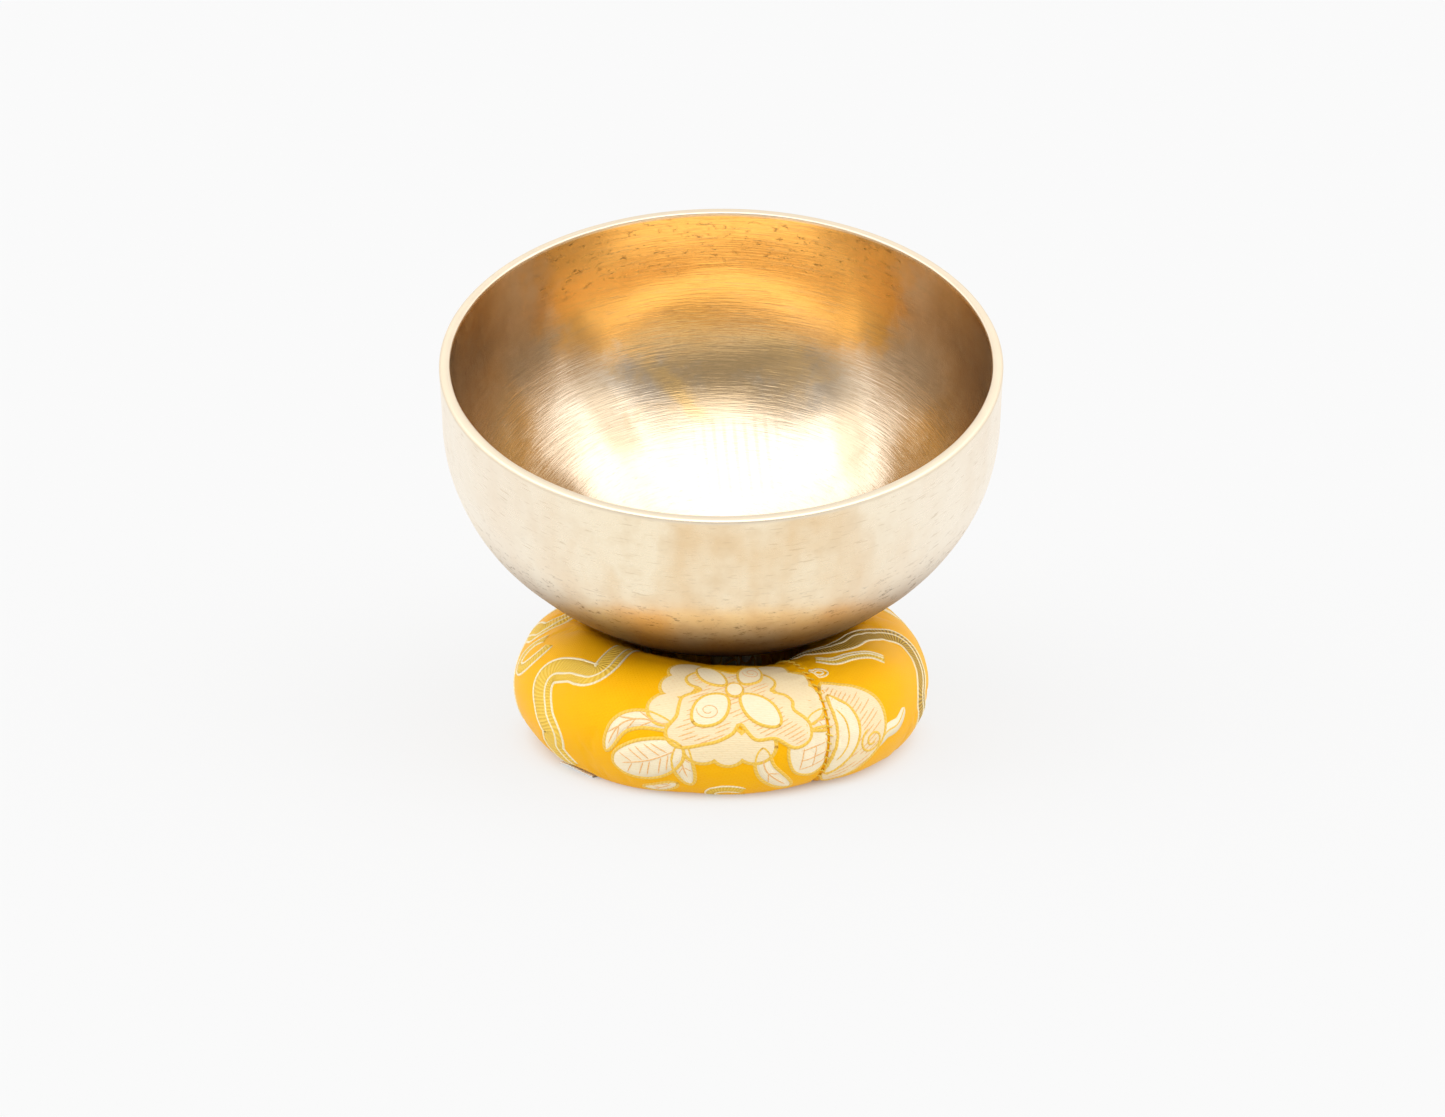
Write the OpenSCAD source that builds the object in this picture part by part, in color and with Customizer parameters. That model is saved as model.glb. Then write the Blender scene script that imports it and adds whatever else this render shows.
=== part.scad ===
// Hand-hammered bronze singing bowl on a stuffed brocade ring cushion.
// The origin is the centre of the cushion's base, on the table. +Z is up.
// The bowl leans over its cushion, so that its mouth looks up and towards -Y.

/* [Bowl] */
// Outside diameter of the rim
rim_d = 130; // [126:1:134]
// Height from the bottom of the bowl to its rim
bowl_h = 69.5; // [66:0.5:72]
// Outside radius of the rounded base
base_r = 70.5; // [68:0.5:74]
// Outside radius of the turn from the base into the wall
shoulder_r = 42; // [38:1:46]
// Thickness of the metal
wall = 2.5; // [1.8:0.1:3]
// Rounding of the rim's outer edge
rim_round = 0.8; // [0.4:0.1:1]
// Chamfer of the rim's inner edge
rim_chamfer = 0.4; // [0.2:0.1:0.6]

/* [Seat] */
// Lean of the bowl from upright, in degrees
lean = 20; // [0:1:24]
// Distance from the cushion's centre back to the middle of the base's curve
seat_back = 4.5; // [0:0.5:6]
// Height of the middle of the base's curve above the table
ball_z = 91.3; // [91:0.1:93]
// Gap between the bowl and the dent that it leaves in the cushion
seat_gap = 0.3; // [0.2:0.1:0.5]

/* [Cushion] */
// Radius of the ring, to the middle of its stuffed tube
ring_r = 33.5; // [32:0.5:35]
// Half the width of the tube
tube_a = 16.2; // [15.5:0.1:16.5]
// Half the height of the tube before it settles on the table
tube_b = 14; // [13.5:0.1:14.2]
// Radius of the tube's inner and outer sides
side_r = 12.5; // [12:0.1:13]
// How much the tube flattens where it lies on the table
flattened = 0.9; // [0.5:0.1:1.2]
// Thickness of the brocade with its backing
cloth = 1; // [0.8:0.1:1.2]

/* [Stitching] */
// Place of the cross seam round the ring, from -Y towards +X, in degrees
cross_seam_at = 30; // [0:1:60]
// Number of whip stitches over the cross seam
whip_count = 15; // [8:1:18]
// Thickness of the thread
thread = 0.4; // [0.3:0.05:0.5]
// Number of stitches in the long seam, under the inner side of the ring
long_count = 36; // [20:1:48]

/* [Care label] */
// Place of the label round the ring, from -Y towards -X, in degrees
label_at = 50; // [30:1:80]
// Width of the label
label_w = 12; // [8:1:14]
// Thickness of the folded label
label_t = 0.5; // [0.3:0.05:0.6]
// How far the label shows past the edge of the cushion's base
label_out = 4; // [2:0.5:5]

/* [Hidden] */
$fn = 96;

bronze = "#c9a15c";
orange = "#f5ab1c";
cotton = "#efe6d2";
gold_thread = "#d9b52c";
seam_thread = "#e0901a";
label_white = "#f2f2ee";

big = 300;
skin = 0.03;

// The wall rises straight from the top of the shoulder
rim_r = rim_d / 2;
shoulder_c = rim_r - shoulder_r;
shoulder_z = base_r - sqrt(pow(base_r - shoulder_r, 2) - pow(shoulder_c, 2));

// The tube's section is an oval of four arcs: two sides, and a top and bottom that meet them
side_c = tube_a - side_r;
crown_r = (pow(side_c, 2) + pow(tube_b, 2) - pow(side_r, 2)) / (2 * (tube_b - side_r));
crown_c = crown_r - tube_b;
crown_half = crown_r * side_c / (crown_r - side_r);
tube_z = tube_b - flattened;
base_half = sqrt(pow(crown_r, 2) - pow(tube_z + crown_c, 2));

// Whip stitches run from just behind the crest, over the outside, to the edge of the base
whip_from = -14;
whip_to = 152;
whip_step = (whip_to - whip_from) / (whip_count - 1);
whip_slant = 24;
whip_length = 1.9;

// The long seam's thread touches the underside of the tube
long_in = 8;
long_share = 0.6;
long_drop = sqrt(pow(crown_r, 2) - pow(long_in, 2)) - crown_c;
long_z = tube_z - long_drop - thread / 2 - skin;

label_start = ring_r - base_half;
label_end = ring_r + base_half + label_out;
label_lift = 0.05;

// Half of the plane, right of the axis
module right_side() {
    translate([0, -big / 2]) square(big);
}

// Section of a full bowl of the outer shape, made thinner by inset
module bowl_form(inset) {
    slope = atan2(shoulder_c, base_r - shoulder_z);
    intersection() {
        right_side();
        union() {
            intersection() {
                translate([0, base_r]) circle(base_r - inset);
                polygon([
                    [0, base_r],
                    [0, -big],
                    [big * sin(slope), base_r - big * cos(slope)]
                ]);
            }
            intersection() {
                translate([shoulder_c, shoulder_z]) circle(shoulder_r - inset);
                translate([0, -big]) square([big, big + shoulder_z]);
            }
            translate([0, shoulder_z]) square([rim_r - inset, bowl_h - shoulder_z]);
        }
    }
}

// What the rounding takes off the rim's outer edge
module rim_corner() {
    difference() {
        translate([rim_r - rim_round, bowl_h - rim_round]) square(2 * rim_round);
        translate([rim_r - rim_round, bowl_h - rim_round]) circle(rim_round);
    }
}

// Section of the wall, from the axis to the rim
module bowl_section() {
    mouth = rim_r - wall;
    difference() {
        bowl_form(0);
        bowl_form(wall);
        translate([0, bowl_h - 0.01]) square([mouth, big]);
        polygon([
            [mouth - 1, bowl_h - rim_chamfer],
            [mouth, bowl_h - rim_chamfer],
            [mouth + rim_chamfer, bowl_h],
            [mouth + rim_chamfer, bowl_h + 1],
            [mouth - 1, bowl_h + 1]
        ]);
        rim_corner();
    }
}

// Moves what stands upright on the origin to the bowl's place, leaning
module on_seat() {
    translate([0, seat_back, ball_z]) rotate([lean, 0, 0]) translate([0, 0, -base_r])
        children();
}

// Section of the stuffed tube, made thinner by inset, flat where it lies on the table
module tube_section(inset) {
    intersection() {
        translate([ring_r, tube_z]) union() {
            intersection() {
                translate([0, -crown_c]) circle(crown_r - inset);
                translate([0, crown_c]) circle(crown_r - inset);
                square([2 * crown_half, big], center = true);
            }
            for (side = [-1, 1]) translate([side * side_c, 0]) circle(side_r - inset);
        }
        translate([0, max(inset, 0)]) square(big);
    }
}

// The ring with the bowl's dent in it, made thinner by inset
module ring(inset) {
    difference() {
        rotate_extrude() tube_section(inset);
        translate([0, seat_back, ball_z]) sphere(base_r + seat_gap + inset);
    }
}

// Turns what lies along -Y, as seen from above, to the cross seam or to the label
module turned(angle) {
    rotate([0, 0, angle]) children();
}

module bowl() {
    color(bronze) on_seat() rotate_extrude() bowl_section();
}

// A closed tube of cloth, pressed up a little where the label runs under it
module cushion_cover() {
    color(orange) difference() {
        ring(0);
        ring(cloth);
        label_strip(label_t + 2 * label_lift, skin);
    }
}

module cushion_filling() {
    color(cotton) ring(cloth + skin);
}

// Short threads that lie slanted over the join of the tube's two ends
module cross_seam() {
    color(gold_thread) intersection() {
        difference() {
            rotate_extrude() tube_section(-thread);
            rotate_extrude() tube_section(-skin);
        }
        turned(cross_seam_at) translate([0, -ring_r, tube_z])
            for (i = [0:whip_count - 1])
                rotate([whip_from + i * whip_step, 0, 0]) rotate([0, 0, whip_slant])
                    translate([-whip_length / 2, -thread / 2, tube_b - 4])
                        cube([whip_length, thread, 12]);
        translate([0, 0, label_lift + big / 2]) cube(big, center = true);
    }
}

// Running stitches that close the tube lengthwise
module long_seam() {
    step = 360 / long_count;
    color(seam_thread) for (i = [0:long_count - 1])
        rotate([0, 0, i * step]) rotate_extrude(angle = step * long_share)
            translate([ring_r - long_in, long_z]) circle(thread / 2, $fn = 24);
}

// The strip that the label fills, with a thickness and a margin at its sides
module label_strip(thickness, margin) {
    turned(-label_at) translate([-label_w / 2 - margin, -label_end - margin, -margin])
        cube([label_w + 2 * margin, label_end - label_start + 2 * margin, thickness]);
}

module care_label() {
    color(label_white) translate([0, 0, label_lift]) label_strip(label_t, 0);
}

bowl();
cushion_cover();
cushion_filling();
cross_seam();
long_seam();
care_label();
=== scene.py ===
from math import atan2, cos, degrees, exp, hypot, pi, radians, sin, sqrt

import bpy
import numpy as np
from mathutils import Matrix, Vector, noise


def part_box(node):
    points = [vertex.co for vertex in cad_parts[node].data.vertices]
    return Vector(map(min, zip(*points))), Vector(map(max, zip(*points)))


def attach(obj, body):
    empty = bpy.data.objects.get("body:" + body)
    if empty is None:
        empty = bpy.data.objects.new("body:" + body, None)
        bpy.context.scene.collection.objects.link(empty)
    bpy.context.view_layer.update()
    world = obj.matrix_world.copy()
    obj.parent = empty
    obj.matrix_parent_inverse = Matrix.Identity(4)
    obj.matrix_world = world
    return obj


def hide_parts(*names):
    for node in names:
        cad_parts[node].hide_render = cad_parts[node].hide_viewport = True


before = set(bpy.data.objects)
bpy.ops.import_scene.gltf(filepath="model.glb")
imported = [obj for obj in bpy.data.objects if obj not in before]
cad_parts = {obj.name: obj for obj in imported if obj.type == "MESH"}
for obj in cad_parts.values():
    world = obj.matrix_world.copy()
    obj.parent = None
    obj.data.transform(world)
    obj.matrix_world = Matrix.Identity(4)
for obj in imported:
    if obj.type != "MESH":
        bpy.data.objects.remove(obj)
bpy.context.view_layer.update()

# ---------------------------------------------------------------- sizes, in millimetres and degrees
MM = 0.001

# The bowl: a rounded base, a turn up into a straight wall, and a rounded rim
RIM_R = 65.0
BOWL_H = 69.5
BASE_R = 70.5
SHOULDER_R = 42.0
WALL = 2.5
RIM_ROUND = 0.8
RIM_CHAMFER = 0.4
LEAN = 20.0
BALL = np.array([0.0, 4.5, 91.3])  # the middle of the base's curve, which the bowl leans about

# Fine rows of tool marks inside: their pitch, slant and middle
ROW_PITCH, ROW_SLANT, ROW_X, ROW_Y = 2.6, 0.12, 4.0, 37.0

# The cushion: an oval tube of four arcs, bent into a ring
TUBE_A = 16.2
TUBE_B = 14.0
SIDE_R = 12.5
RING_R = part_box("cushion_cover")[1].x / MM - TUBE_A
TUBE_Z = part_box("cushion_cover")[1].z / MM - TUBE_B
SEAT_GAP = 0.35

# Height of each woven layer over the one under it
LAYER = 0.09

# Cloth coordinates: s runs round the ring from the front towards +X, t from the crest outwards
CLOTH_R = 44.0
SEAM_AT = radians(30)
SEAM_S = CLOTH_R * SEAM_AT
LABEL_AT = radians(-50)
LABEL_W, LABEL_T, LABEL_LIFT, LABEL_FROM, LABEL_TO = 12.0, 0.5, 0.06, 27.0, 43.4
LONG_SEAM_T = 8.0

# Points of the cover round the ring and round its tube, and of the bowl round its axis
AROUND, ACROSS = 448, 144
TURNS = 360

# The cloth pass works on a cushion ten times as large, for the solver's sake
SIM = 0.01
STUFFING, SETTLE_FRAMES, FOLD_LIMIT = 20.0, 16, 0.9
BASE_RINGS, BASE_TURNS = 40, 96

# Brightness of the light tent, where 1 shows white as white
TOP_LIGHT, BACK_LIGHT, LOW_LIGHT, CAMERA_SIDE, FLOOR_EDGE = 2.4, 0.95, 1.4, 0.42, 1.1
FLOOR_GLOW = 0.76


# ---------------------------------------------------------------- small helpers
def mesh_object(name, points, faces, material, smooth=True):
    """A mesh from points in millimetres, in the frame."""
    mesh = bpy.data.meshes.new(name)
    mesh.from_pydata([tuple(p * MM) for p in np.asarray(points)], [], faces)
    mesh.validate()
    if smooth:
        mesh.shade_smooth()
    mesh.materials.append(material)
    made = bpy.data.objects.new(name, mesh)
    bpy.context.scene.collection.objects.link(made)
    return made


def corner_values(made, name, values):
    """Stores one vector per face corner, taken from one per vertex."""
    mesh = made.data
    corners = np.zeros(len(mesh.loops), np.int32)
    mesh.loops.foreach_get("vertex_index", corners)
    attribute = mesh.attributes.new(name, "FLOAT_VECTOR", "CORNER")
    attribute.data.foreach_set("vector", np.asarray(values, np.float32)[corners].ravel())


def grid_faces(rows, columns, close_rows=False, close_columns=False, flip=False):
    """Quads over a grid whose vertex (i, j) has the number i * columns + j."""
    faces = []
    for i in range(rows if close_rows else rows - 1):
        for j in range(columns if close_columns else columns - 1):
            a, b = i * columns, (i + 1) % rows * columns
            k = (j + 1) % columns
            faces.append((a + k, b + k, b + j, a + j) if flip else (a + j, b + j, b + k, a + k))
    return faces


def ring_faces(rings, count, first):
    """Quads between rings of points that close round, numbered on from first."""
    faces = []
    for r in range(rings - 1):
        a, b = first + r * count, first + (r + 1) * count
        faces += [(a + k, a + (k + 1) % count, b + (k + 1) % count, b + k) for k in range(count)]
    return faces


def lengths(line):
    """How far along a line each of its points lies."""
    return np.concatenate([[0], np.cumsum(np.linalg.norm(np.diff(line, axis=0), axis=1))])


def directions(line):
    """Unit vectors along a line, one at each of its points."""
    ahead = np.gradient(line, axis=0)
    return ahead / np.maximum(np.linalg.norm(ahead, axis=1), 1e-9)[:, None]


def to_left(ahead):
    """Each direction, turned a quarter turn to the left."""
    return np.stack([-ahead[:, 1], ahead[:, 0]], 1)


def smooth_line(points, closed=False, step=0.7):
    """A Catmull-Rom curve through a few points, sampled about every step."""
    p = np.array(points, float)
    n = len(p)
    out = []
    for i in range(n if closed else n - 1):
        if closed:
            a, b, c, d = (p[(i + k) % n] for k in (-1, 0, 1, 2))
        else:
            a, b, c, d = p[max(i - 1, 0)], p[i], p[i + 1], p[min(i + 2, n - 1)]
        for u in np.linspace(0, 1, max(3, int(np.linalg.norm(c - b) / step)), endpoint=False):
            out.append(
                0.5 * (2 * b + (c - a) * u + (2 * a - 5 * b + 4 * c - d) * u**2
                       + (3 * b - a - 3 * c + d) * u**3)
            )
    if not closed:
        out.append(p[-1])
    return np.array(out)


# ---------------------------------------------------------------- material helpers
class Nodes:
    """The node tree of a new material or world, with short calls for what those below share."""

    def __init__(self, owner):
        owner.use_nodes = True
        self.owner = owner
        self.tree = owner.node_tree
        self.shader = self.tree.nodes.get("Principled BSDF")

    def add(self, kind, inputs=(), **settings):
        made = self.tree.nodes.new(kind)
        for key, value in settings.items():
            setattr(made, key, value)
        for key, value in dict(inputs).items():
            self.put(made.inputs[key], value)
        return made

    def put(self, socket, value):
        if isinstance(value, bpy.types.NodeSocket):
            self.tree.links.new(value, socket)
        else:
            socket.default_value = value

    def set(self, **values):
        """Sets the shader's inputs, whose spaces are written as underscores."""
        for key, value in values.items():
            self.put(self.shader.inputs[key.replace("_", " ")], value)

    def math(self, operation, a, b=0.0, c=0.0, clamp=False):
        return self.add(
            "ShaderNodeMath", {0: a, 1: b, 2: c}, operation=operation, use_clamp=clamp
        ).outputs[0]

    def plus(self, a, b):
        return self.math("ADD", a, b)

    def minus(self, a, b):
        return self.math("SUBTRACT", a, b)

    def times(self, a, b):
        return self.math("MULTIPLY", a, b)

    def scaled(self, a, factor, shift, clamp=False):
        return self.math("MULTIPLY_ADD", a, factor, shift, clamp)

    def larger(self, a, b):
        return self.math("MAXIMUM", a, b)

    def size(self, a):
        return self.math("ABSOLUTE", a)

    def distance(self, x, y):
        return self.math("SQRT", self.scaled(x, x, self.times(y, y)))

    def vector(self, operation, a, b=(0, 0, 0)):
        return self.add("ShaderNodeVectorMath", {0: a, 1: b}, operation=operation).outputs["Vector"]

    def split(self, value):
        return self.add("ShaderNodeSeparateXYZ", {0: value}).outputs

    def join(self, x, y, z):
        return self.add("ShaderNodeCombineXYZ", {0: x, 1: y, 2: z}).outputs[0]

    def noise(self, at, scale, detail=2.0, rough=0.5):
        return self.add(
            "ShaderNodeTexNoise",
            {"Vector": at, "Scale": scale, "Detail": detail, "Roughness": rough},
        ).outputs["Fac"]

    def ramp(self, value, *stops):
        node = self.add("ShaderNodeValToRGB", {0: value})
        ramp = node.color_ramp
        for i, (place, color) in enumerate(stops):
            stop = ramp.elements[i] if i < 2 else ramp.elements.new(place)
            stop.position = place
            stop.color = (*color, 1) if hasattr(color, "__len__") else (color, color, color, 1)
        return node.outputs[0]

    def rise(self, value, low, high):
        """A smooth step from 0 at low to 1 at high."""
        return self.add(
            "ShaderNodeMapRange", {"Value": value, "From Min": low, "From Max": high},
            interpolation_type="SMOOTHSTEP",
        ).outputs[0]

    def mix(self, share, a, b, blend="MIX"):
        node = self.add("ShaderNodeMix", data_type="RGBA", blend_type=blend)
        for key, value in ((0, share), (6, a), (7, b)):
            self.put(node.inputs[key], (*value, 1) if isinstance(value, tuple) else value)
        return node.outputs[2]

    def bump(self, height, distance, strength=1.0, after=None):
        inputs = {"Height": height, "Distance": distance, "Strength": strength}
        if after is not None:
            inputs["Normal"] = after
        return self.add("ShaderNodeBump", inputs).outputs[0]

    def stored(self, name):
        return self.add("ShaderNodeAttribute", attribute_name=name).outputs["Vector"]

    def place(self):
        return self.add("ShaderNodeTexCoord").outputs["Object"]


def bronze_material():
    """Hammered bell bronze: brushed round the bowl, with a thin uneven patina and small scuffs."""
    m = Nodes(bpy.data.materials.new("bronze"))
    # The bowl's own place, upright and in millimetres, from the middle of its base's curve
    local = m.add(
        "ShaderNodeMapping",
        {
            "Vector": m.place(),
            "Location": tuple(BALL * MM),
            "Rotation": (radians(LEAN), 0, 0),
            "Scale": (MM, MM, MM),
        },
        vector_type="TEXTURE",
    ).outputs[0]
    x, y, z = m.split(local)
    from_axis = m.distance(x, y)
    along = m.math("ARCTAN2", from_axis, m.times(z, -1.0))
    turn = m.math("ARCTAN2", y, x)
    turn_x, turn_y = m.math("COSINE", turn), m.math("SINE", turn)
    at_back = m.math("DIVIDE", y, m.larger(from_axis, 1.0))
    at_side = m.math("DIVIDE", m.size(x), m.larger(from_axis, 1.0))
    inside = m.math("GREATER_THAN", m.split(m.stored("bowl_side"))[0], 0.5)

    def wall(low, high):
        """A step between two angles up the wall, from 0 at the bottom to about 90 at the rim."""
        return m.rise(along, radians(low), radians(high))

    def streaks(fineness, length, detail):
        """Noise drawn out round the bowl: a long way in turn, a short way up the wall."""
        at = m.join(m.times(turn_x, length), m.times(turn_y, length), m.times(along, fineness))
        return m.noise(at, 1.0, detail, 0.6)

    fine = streaks(260.0, 9.0, 3.0)
    coarse = streaks(60.0, 3.0, 2.0)
    brushed = streaks(130.0, 8.0, 2.0)
    scratch = m.ramp(streaks(150.0, 14.0, 1.0), (0.66, 0.0), (0.72, 1.0))
    cloudy = m.noise(local, 0.045, 4.0, 0.6)
    spots = m.noise(local, 0.16, 5.0, 0.65)
    patina = m.ramp(spots, (0.48, 0.0), (0.70, 1.0))

    # Outside: pale, with tan clouds, a painted highlight that turns the sides near white, and painted shade
    # low down, most at the front
    streaky = m.noise(m.join(turn_x, turn_y, m.times(along, 0.35)), 5.0, 3.0)
    cloud = m.scaled(streaky, 0.6, m.times(cloudy, 0.4))
    outer = m.ramp(cloud, (0.38, (0.88, 0.66, 0.40)), (0.58, (0.98, 0.85, 0.63)))
    outer = m.mix(m.times(patina, 0.30), outer, (0.72, 0.52, 0.29))
    # Painted highlight: the left and right sides turn near white, standing in for the white studio they
    # reflect at a glancing angle
    outer = m.mix(m.times(m.rise(at_side, 0.25, 0.85), 0.7), outer, (1.0, 0.92, 0.80))
    # Painted shade: darker low down, most at the front, standing in for the shadowed cushion and gap under
    # the bowl that the metal reflects
    base = m.times(wall(69, 53), m.scaled(m.rise(at_back, -0.3, -0.97), 0.65, 0.2))
    outer = m.mix(base, outer, (0.15, 0.085, 0.045))

    # Inside: brighter metal, with a painted gold reflection high up at the back
    inner = m.ramp(cloudy, (0.3, (0.75, 0.595, 0.43)), (0.7, (0.84, 0.70, 0.54)))
    upper = m.rise(m.scaled(cloudy, 0.3, along), radians(62), radians(78))
    back = m.scaled(spots, 0.3, m.scaled(cloudy, 0.2, at_back))
    back = m.rise(m.plus(back, m.times(wall(50, 75), 0.24)), 1.1, 1.26)
    # Painted reflection: deep gold on the back wall, standing in for light bounced round inside the bowl
    painted_gold_reflection = m.times(m.scaled(upper, 0.35, m.times(wall(38, 54), 0.65)), back)
    inner = m.mix(painted_gold_reflection, inner, (0.87, 0.52, 0.15))

    # Soft dark slanting marks, a painted reflection of darker surroundings in the metal; a bright golden
    # streak between them; and brushed lines
    wobble = m.scaled(spots, 0.14, turn)

    def mark(at, drift, half, low, high):
        """A soft mark at one turn, which drifts on its way up the wall."""
        middle = m.scaled(along, drift, radians(at + 4 - 50 * drift))
        away = m.size(m.minus(wobble, middle))
        length = m.times(wall(low - 5, low + 3), wall(high + 6, high - 6))
        return m.times(m.rise(away, radians(half), radians(half * 0.2)), length)

    # Painted reflection: these marks darken the metal where it would show the dark camera side and dim parts
    # of the studio
    painted_dark_reflection = 0.0
    for share, made in (
        (1.0, mark(125, 0.1, 9, 38, 66)),
        (1.0, mark(54, 1.1, 11, 38, 62)),
        (0.45, mark(88, 0.2, 19, 47, 60)),
        (0.6, mark(139, 0.0, 12, 62, 92)),
        (0.5, mark(16, 0.0, 14, 54, 76)),
    ):
        painted_dark_reflection = m.larger(painted_dark_reflection, m.times(made, share))
    inner = m.mix(m.times(painted_dark_reflection, 0.48), inner, (0.42, 0.29, 0.15))
    inner = m.mix(m.times(mark(104, 0.9, 4.5, 44, 56), 0.7), inner, (1.0, 0.64, 0.24))
    row = m.math("SINE", m.times(m.scaled(y, ROW_SLANT, x), 2 * pi / ROW_PITCH))
    rippled = m.times(m.rise(m.size(m.minus(x, ROW_X)), 15.0, 5.0), m.rise(row, 0.0, 1.0))
    rippled = m.times(rippled, m.times(m.rise(y, 24.0, 31.0), m.rise(y, 47.0, 42.0)))
    inner = m.mix(m.times(rippled, 0.5), inner, (0.55, 0.44, 0.32))
    inner = m.mix(m.times(m.rise(brushed, 0.50, 0.70), 0.24), inner, (0.52, 0.39, 0.25))
    color = m.mix(inside, outer, inner)

    # Dark scuffs gather low on the outside, and near the rim inside
    low_down = m.scaled(wall(74, 60), 0.9, 0.1)
    low_down = m.times(low_down, m.scaled(m.rise(at_back, 0.3, -0.6), 0.65, 0.35))
    where = m.mix(inside, low_down, m.times(painted_gold_reflection, wall(70, 80)))
    scuff_noise = m.noise(m.vector("MULTIPLY", local, (1.0, 1.0, 2.4)), 0.35, 6.0, 0.75)
    scuffs = m.times(m.ramp(scuff_noise, (0.56, 0.0), (0.66, 1.0)), where)
    color = m.mix(m.times(scuffs, 0.7), color, (0.16, 0.09, 0.04))
    color = m.mix(m.times(scratch, 0.25), color, (0.45, 0.30, 0.15))
    rim = m.rise(z, BOWL_H - BASE_R - 1.2, BOWL_H - BASE_R - 0.4)
    color = m.mix(rim, color, (0.84, 0.72, 0.55))

    rough = m.scaled(fine, 0.08, m.scaled(inside, -0.08, 0.24))
    worn = m.times(wall(72, 56), m.minus(1.0, inside))
    for share, more in ((patina, 0.06), (scuffs, 0.15), (worn, 0.24), (rim, 0.16)):
        rough = m.scaled(share, more, rough)
    # The brushing runs round the bowl's leaning axis
    axis = (0.0, -sin(radians(LEAN)), cos(radians(LEAN)))
    from_ball = m.vector("SUBTRACT", m.place(), tuple(BALL * MM))
    bump = m.bump(fine, 0.00004, m.scaled(inside, 0.5, 0.25))
    bump = m.bump(coarse, 0.00010, m.scaled(inside, 0.3, 0.15), bump)
    bump = m.bump(brushed, 0.00006, m.times(inside, 0.6), bump)
    m.set(
        Base_Color=color,
        Metallic=1.0,
        Roughness=rough,
        Anisotropic=0.45,
        Normal=bump,
        Tangent=m.vector("CROSS_PRODUCT", axis, from_ball),
    )
    return m.owner


def woven(name, light, dark, pitch=0.42, rough=0.5, sheen=0.05, gloss=0.1):
    """Cloth of fine floating threads, in cloth coordinates of millimetres."""
    m = Nodes(bpy.data.materials.new(name))
    at = m.stored("cloth")
    s, t, _ = m.split(at)
    # Each pick is a fine ridge along s, broken where the thread dips under a warp end
    pick = m.times(t, 1 / pitch)
    ridge = m.size(m.minus(m.math("FRACT", pick), 0.5))
    shift = m.times(m.math("FLOOR", pick), 0.37)
    float_place = m.math("FRACT", m.plus(m.times(s, 1 / (7 * pitch)), shift))
    dip = m.ramp(float_place, (0.0, 0.0), (0.12, 1.0), (0.88, 1.0), (1.0, 0.0))
    thread = m.times(m.scaled(ridge, -2.0, 1.0), dip)
    uneven = m.noise(at, 0.22, 3.0, 0.6)
    slub = m.noise(m.vector("MULTIPLY", at, (0.5, 6.0, 1.0)), 1.0, 2.0, 0.6)
    share = m.minus(m.scaled(thread, 0.45, m.times(uneven, 0.4)), 0.1)
    share = m.scaled(slub, 0.3, share, clamp=True)
    m.set(
        Base_Color=m.mix(share, dark, light),
        Roughness=m.scaled(uneven, 0.12, rough - 0.06),
        Normal=m.bump(m.scaled(slub, 0.4, thread), 0.00006, 0.7),
        Sheen_Weight=sheen,
        Sheen_Roughness=0.4,
        Sheen_Tint=(*light, 1),
        Specular_IOR_Level=gloss,
        Specular_Tint=(1.0, 0.82, 0.42, 1),
    )
    return m.owner


def twisted(name, light, dark, twist=0.9):
    """Twisted thread: slanting plies along the run stored as cloth coordinates."""
    m = Nodes(bpy.data.materials.new(name))
    run, across, _ = m.split(m.stored("cloth"))
    ply = m.times(m.plus(run, m.times(across, 0.8)), 1 / twist)
    wave = m.scaled(m.math("SINE", m.times(ply, 2 * pi)), 0.5, 0.5)
    fuzz = m.noise(m.stored("cloth"), 3.0, 3.0, 0.6)
    share = m.scaled(wave, 0.55, m.times(fuzz, 0.5), clamp=True)
    m.set(
        Base_Color=m.mix(share, dark, light),
        Roughness=m.scaled(fuzz, 0.2, 0.42),
        Normal=m.bump(wave, 0.00008, 0.6),
        Sheen_Weight=0.05,
    )
    return m.owner


def ribbed(name, light, dark):
    """Gold ribs across a band: fine ridges that follow its run."""
    m = Nodes(bpy.data.materials.new(name))
    run, across, _ = m.split(m.stored("cloth"))
    phase = m.times(m.plus(run, m.times(across, 0.25)), 2 * pi / 0.85)
    ridge = m.scaled(m.math("SINE", phase), 0.5, 0.5)
    grain = m.noise(m.stored("cloth"), 1.6, 3.0, 0.6)
    share = m.scaled(ridge, 0.6, m.times(grain, 0.5), clamp=True)
    m.set(
        Base_Color=m.mix(share, dark, light),
        Roughness=m.scaled(grain, 0.15, 0.42),
        Normal=m.bump(ridge, 0.00018, 0.8),
        Specular_IOR_Level=0.15,
        Sheen_Weight=0.02,
    )
    return m.owner


def cotton():
    """Loose fibre, in frame coordinates."""
    m = Nodes(bpy.data.materials.new("cotton"))
    fibre = m.noise(m.place(), 900.0, 5.0, 0.65)
    m.set(
        Base_Color=m.mix(fibre, (0.80, 0.76, 0.68), (0.93, 0.90, 0.83)),
        Roughness=m.scaled(fibre, 0.15, 0.65),
        Normal=m.bump(fibre, 0.00015, 0.5),
        Sheen_Weight=0.2,
    )
    return m.owner


# ---------------------------------------------------------------- the bowl
def arc(cx, cy, radius, start, end, count):
    """Points (out, up) on an arc; an angle of 0 points down and 90 points outwards."""
    a = np.radians(np.linspace(start, end, count))
    return np.stack([cx + radius * np.sin(a), cy - radius * np.cos(a)], 1)


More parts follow.
